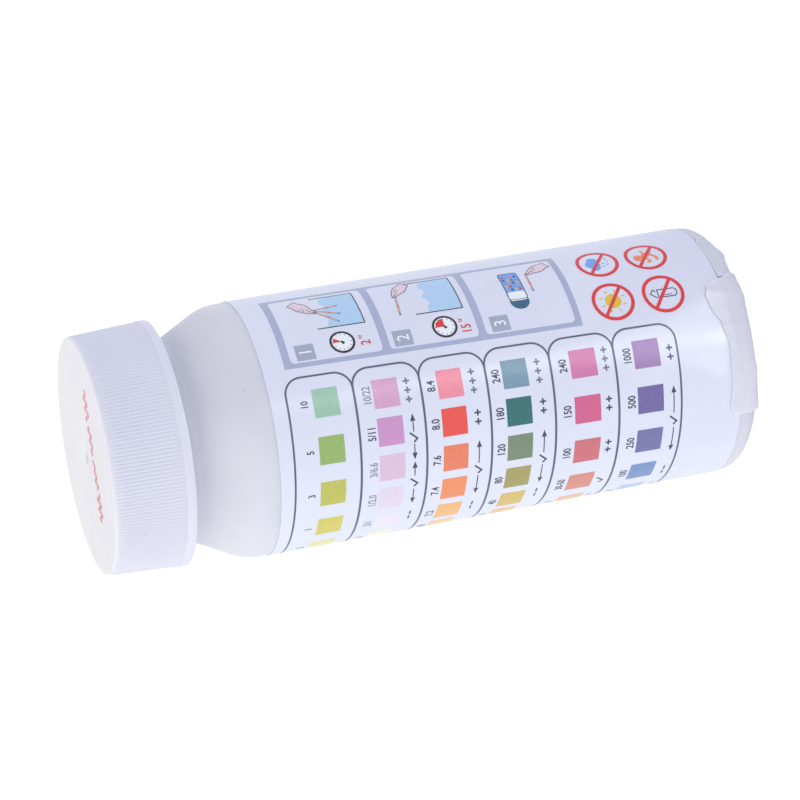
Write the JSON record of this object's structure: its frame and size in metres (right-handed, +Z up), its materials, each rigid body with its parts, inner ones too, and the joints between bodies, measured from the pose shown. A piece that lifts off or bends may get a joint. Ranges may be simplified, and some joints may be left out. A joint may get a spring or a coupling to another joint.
{
  "type": "water test strip bottle",
  "caption": "Round plastic bottle of dip-and-read water test strips, with a ribbed desiccant screw cap and a wrap-round colour comparison chart.",
  "frame": {"origin": "centre of the base, on the plane the bottle stands on", "axes": "+Z up along the bottle towards the cap; the middle of the colour chart faces -Y; the chart reads along +X when the bottle lies with its cap to the left"},
  "size_m": [0.04, 0.0402, 0.1037],
  "materials": {
    "bottle_plastic": "satin",
    "label_paper": "gloss",
    "clear_tab": "gloss",
    "cap_plastic": "satin",
    "liner_foam": "matte",
    "paperboard": "matte",
    "desiccant": "matte",
    "strip_plastic": "satin",
    "adhesive_film": "matte",
    "pad_total_chlorine": "matte",
    "pad_free_chlorine": "matte",
    "pad_ph": "matte",
    "pad_alkalinity": "matte",
    "pad_stabiliser": "matte",
    "pad_hardness": "matte"
  },
  "bodies": {
    "bottle": {"bottle": "bottle_plastic", "wrap_label": "label_paper", "base_sticker": "clear_tab", "bundle_backings": "strip_plastic", "bundle_adhesive": "adhesive_film", "bundle_pads_total_chlorine": "pad_total_chlorine", "bundle_pads_free_chlorine": "pad_free_chlorine", "bundle_pads_ph": "pad_ph", "bundle_pads_alkalinity": "pad_alkalinity", "bundle_pads_stabiliser": "pad_stabiliser", "bundle_pads_hardness": "pad_hardness"},
    "liner": {"cap_liner": "liner_foam"},
    "dryer": {"desiccant_disc": "paperboard", "desiccant_beads": "desiccant"},
    "cap": {"cap_shell": "cap_plastic"},
    "test_strip": {"strip_backing": "strip_plastic", "strip_adhesive": "adhesive_film", "strip_pad_total_chlorine": "pad_total_chlorine", "strip_pad_free_chlorine": "pad_free_chlorine", "strip_pad_ph": "pad_ph", "strip_pad_alkalinity": "pad_alkalinity", "strip_pad_stabiliser": "pad_stabiliser", "strip_pad_hardness": "pad_hardness"}
  },
  "joints": [
    {"name": "cap_lift", "type": "slide", "parent": "bottle", "child": "liner", "axis": [0, 0, 1], "range_m": [0, 0.11]},
    {"name": "cap_rise", "type": "slide", "parent": "liner", "child": "dryer", "axis": [0, 0, 1], "range_m": [0, 0.0054]},
    {"name": "cap_turn", "type": "hinge", "parent": "dryer", "child": "cap", "pos_m": [0, 0, 0.1037], "axis": [0, 0, 1], "range_deg": [0, 450]},
    {"name": "strip_draw", "type": "slide", "parent": "bottle", "child": "test_strip", "axis": [0, 0, 1], "range_m": [0, 0.107]}
  ],
  "couplings": [
    {"joint": "cap_rise", "follows": "cap_turn", "m_per_rad": 0.000673},
    {"joint": "strip_draw", "follows": "cap_lift", "ratio": 0.97}
  ]
}
